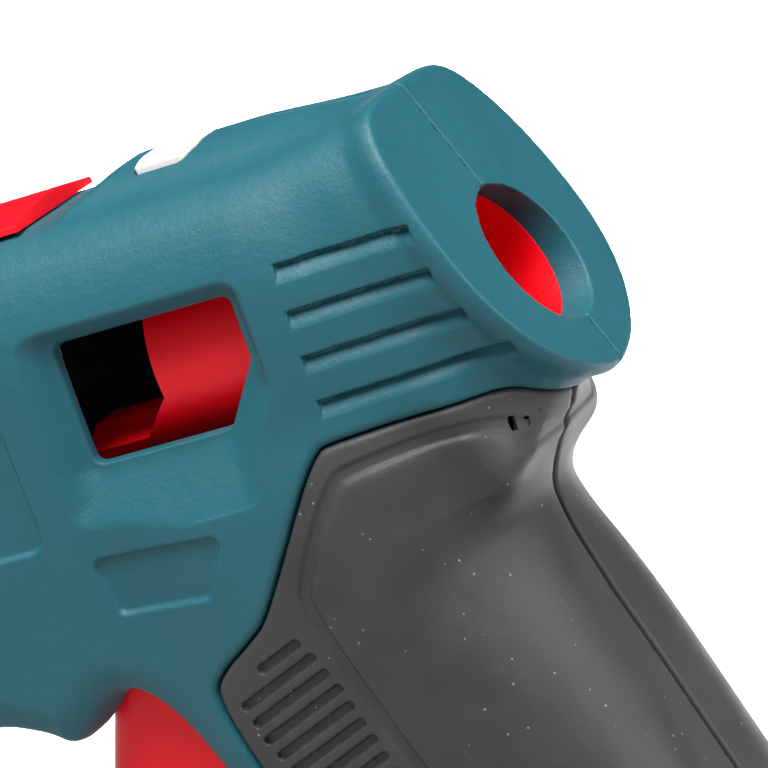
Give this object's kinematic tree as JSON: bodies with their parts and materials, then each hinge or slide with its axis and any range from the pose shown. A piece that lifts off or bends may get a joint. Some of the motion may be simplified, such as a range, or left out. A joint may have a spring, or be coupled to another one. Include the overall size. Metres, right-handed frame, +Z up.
{
  "type": "hot-melt glue gun",
  "caption": "Hand-held hot-melt glue gun with squeeze trigger feed, slide switch, feed window, rubber grip and fold-out wire stand.",
  "frame": {"origin": "middle of the outline on the surface the gun stands on, nose down on its handle base and wire stand", "axes": "+X to the back of the gun (the stick's end), +Y to its right, +Z up; the barrel is pitched 22 degrees nose down"},
  "size_m": [0.25, 0.0364, 0.1283],
  "materials": {
    "teal_plastic": "fine spark-eroded grain, satin",
    "grip_rubber": "matt, fine grain",
    "red_plastic": "smooth, semi-gloss",
    "black_plastic": "matt heat-proof moulding",
    "lens_plastic": "milky, smooth",
    "steel": "zinc-plated",
    "spring_steel": "plain",
    "aluminium": "as cast and turned",
    "brass": "turned, satin",
    "silicone": "matt silicone",
    "sleeve_silicone": "matt translucent silicone",
    "ceramic": "bare ceramic",
    "board": "solder mask",
    "wire_insulation": "glass-fibre sleeving",
    "led_red": "clear tinted"
  },
  "bodies": {
    "shell": {"left_housing": "teal_plastic", "right_housing": "teal_plastic", "left_grip": "grip_rubber", "right_grip": "grip_rubber", "trigger_pin": "steel", "return_spring": "spring_steel", "silicone_sleeve": "sleeve_silicone", "melt_chamber": "aluminium", "ptc_heater": "ceramic", "heater_clip": "spring_steel", "chamber_collar": "ceramic", "nozzle": "brass", "nozzle_boot": "silicone", "nose_guard": "black_plastic", "switch_body": "black_plastic", "indicator_lens": "lens_plastic", "status_led": "led_red", "circuit_board": "board", "heater_leads": "wire_insulation", "housing_screws": "steel", "cord_gland": "silicone"},
    "trigger": {"trigger": "red_plastic"},
    "carriage": {"feed_carriage": "red_plastic", "jaw_pin": "steel"},
    "jaw": {"clamp_jaw": "spring_steel"},
    "switch": {"switch_knob": "red_plastic"},
    "stand": {"wire_stand": "steel"}
  },
  "joints": [
    {"name": "trigger_squeeze", "type": "hinge", "parent": "shell", "child": "trigger", "pos_m": [0.01131, 0, 0.07724], "axis": [0, -1, 0], "range_deg": [0, 26], "stiffness_Nm_per_rad": 0.6, "springref_deg": -20.05, "deforming": ["return_spring"]},
    {"name": "carriage_slide", "type": "slide", "parent": "shell", "child": "carriage", "axis": [-0.9272, 0, -0.3746], "range_m": [0, 0.00554]},
    {"name": "jaw_tilt", "type": "hinge", "parent": "carriage", "child": "jaw", "pos_m": [0.02874, 0, 0.0928], "axis": [0, -1, 0], "range_deg": [0, 7]},
    {"name": "switch_slide", "type": "slide", "parent": "shell", "child": "switch", "axis": [-0.9272, 0, -0.3746], "range_m": [0, 0.0045]},
    {"name": "stand_fold", "type": "hinge", "parent": "shell", "child": "stand", "pos_m": [-0.04287, 0, 0.06451], "axis": [0, 1, 0], "range_deg": [0, 76]}
  ],
  "couplings": [
    {"joint": "carriage_slide", "follows": "trigger_squeeze", "m_per_rad": 0.01221},
    {"joint": "jaw_tilt", "follows": "trigger_squeeze", "ratio": 0.26923}
  ]
}
